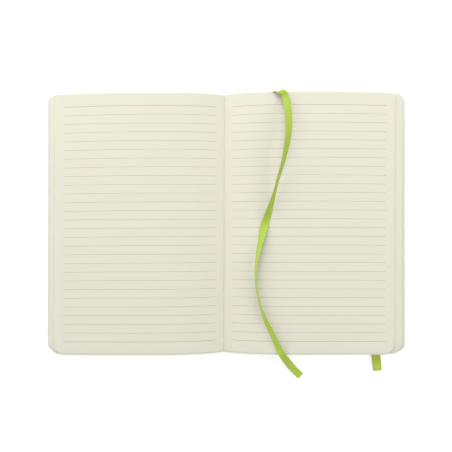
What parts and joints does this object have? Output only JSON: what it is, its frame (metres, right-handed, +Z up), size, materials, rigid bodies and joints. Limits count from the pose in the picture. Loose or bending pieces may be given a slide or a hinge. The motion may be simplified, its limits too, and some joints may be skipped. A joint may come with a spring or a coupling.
{
  "type": "notebook",
  "caption": "Open soft-covered ruled notebook lying flat, with rounded corners, a ribbon marker across the right page and an elastic closing band on the back cover.",
  "frame": {"origin": "middle of the spine's underside, on the surface that the open notebook lies on", "axes": "+X across the spread towards the right-hand page, +Y towards the head of the page, +Z up"},
  "size_m": [0.294, 0.2349, 0.025],
  "materials": {
    "cover": "pale grey soft leatherette, fine grain, satin",
    "lining": "glued woven lining",
    "endpaper": "heavy uncoated ivory paper",
    "paper": "uncoated ivory paper",
    "ink": "pale grey print",
    "elastic": "lime green woven elastic",
    "ribbon": "lime green satin ribbon"
  },
  "bodies": {
    "block": {"pages": "paper", "ruled_lines": "ink", "spine_panel": "cover", "spine_lining": "lining", "ribbon_marker": "ribbon"},
    "front": {"front_cover": "cover", "front_endpaper": "endpaper"},
    "back": {"back_cover": "cover", "back_endpaper": "endpaper", "elastic_band": "elastic"}
  },
  "joints": [
    {"name": "front_cover_hinge", "type": "hinge", "parent": "block", "child": "front", "pos_m": [-0.006, 0, 0], "axis": [0, -1, 0], "range_deg": [0, 90]},
    {"name": "back_cover_hinge", "type": "hinge", "parent": "block", "child": "back", "pos_m": [0.006, 0, 0], "axis": [0, 1, 0], "range_deg": [0, 90]}
  ]
}
